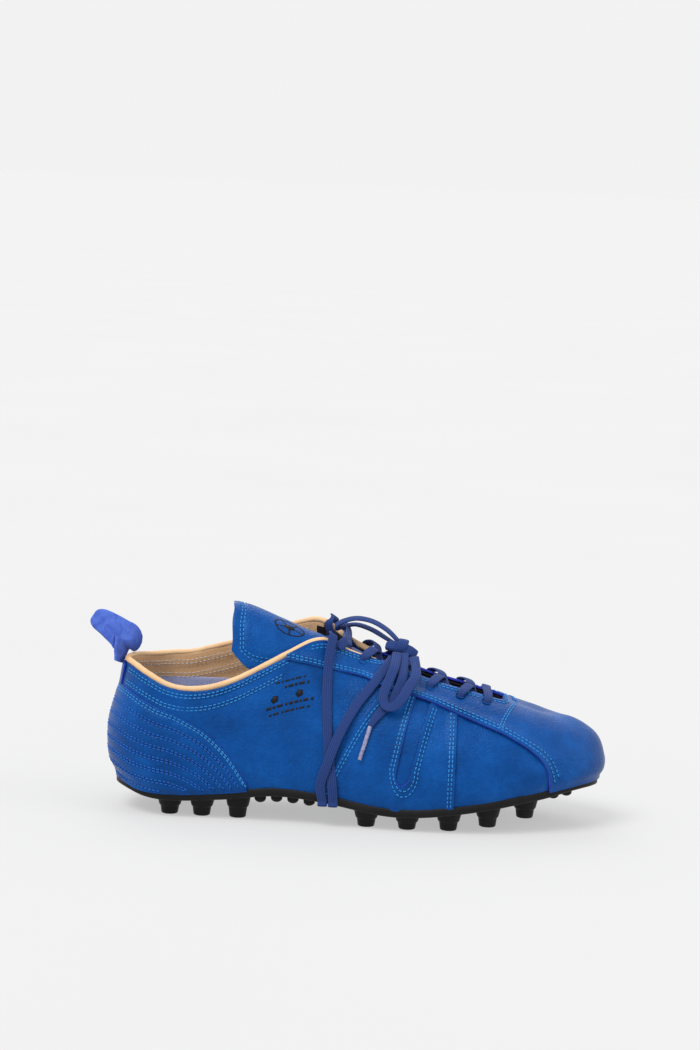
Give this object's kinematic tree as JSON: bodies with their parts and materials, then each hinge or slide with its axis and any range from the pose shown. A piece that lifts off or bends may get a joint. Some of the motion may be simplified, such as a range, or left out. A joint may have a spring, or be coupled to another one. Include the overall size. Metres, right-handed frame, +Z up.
{
  "type": "soccer cleat",
  "caption": "Low leather soccer cleat with a moulded studded sole, quilted heel, rolled collar, padded tongue, heel pull tab and a flat lace wrapped round the waist.",
  "frame": {"origin": "on the ground under the middle of the box that holds the shoe and its heel tab, without the free lace ends", "axes": "+X from heel to toe, -Y to the outer (lateral) side of this right shoe, +Z up"},
  "size_m": [0.3017, 0.1027, 0.122],
  "materials": {
    "sole_rubber": "satin moulded black rubber",
    "blue_leather": "smooth full grain leather, satin",
    "tan_leather": "smooth lining leather, matt",
    "black_textile": "knitted textile lining",
    "suede": "suede, napped",
    "foam_liner": "brushed textile on foam",
    "board": "fibre board",
    "spring_steel": "rolled steel",
    "stiffener": "pressed fibre sheet",
    "lace_weave": "flat woven polyester",
    "aglet_film": "clear shrunk film over the weave"
  },
  "bodies": {
    "shoe": {"outsole": "sole_rubber", "heel_studs": "sole_rubber", "forefoot_studs": "sole_rubber", "sole_nubs": "sole_rubber", "shank": "spring_steel", "sole_filler": "board", "lasting_board": "board", "insole": "foam_liner", "vamp": "blue_leather", "quarter_lateral": "blue_leather", "quarter_medial": "blue_leather", "side_panel_lateral": "blue_leather", "side_panel_medial": "blue_leather", "window_backing_lateral": "blue_leather", "window_backing_medial": "blue_leather", "front_panel_lateral": "blue_leather", "front_panel_medial": "blue_leather", "heel_overlay": "blue_leather", "back_strip": "blue_leather", "collar_binding": "tan_leather", "collar_lining": "tan_leather", "forefoot_lining": "black_textile", "facing_backing_lateral": "black_textile", "facing_backing_medial": "black_textile", "toe_puff": "stiffener", "heel_counter": "stiffener", "lace_crossings": "lace_weave", "lace_wrap": "lace_weave", "lace_knot": "lace_weave", "lace_bow_far": "lace_weave", "lace_bow_near": "lace_weave", "lace_end_lateral": "lace_weave", "lace_end_medial": "lace_weave", "aglets": "aglet_film"},
    "tongue": {"tongue": "blue_leather", "tongue_lining": "black_textile"},
    "pull_tab": {"pull_tab": "suede"}
  },
  "joints": [
    {"name": "tongue_press", "type": "hinge", "parent": "shoe", "child": "tongue", "pos_m": [0.103, 0, 0.066], "axis": [0, -1, 0], "range_deg": [0, 10]},
    {"name": "pull_tab_swing", "type": "hinge", "parent": "shoe", "child": "pull_tab", "pos_m": [-0.1315, 0, 0.08], "axis": [0, -1, 0], "range_deg": [0, 75]}
  ]
}
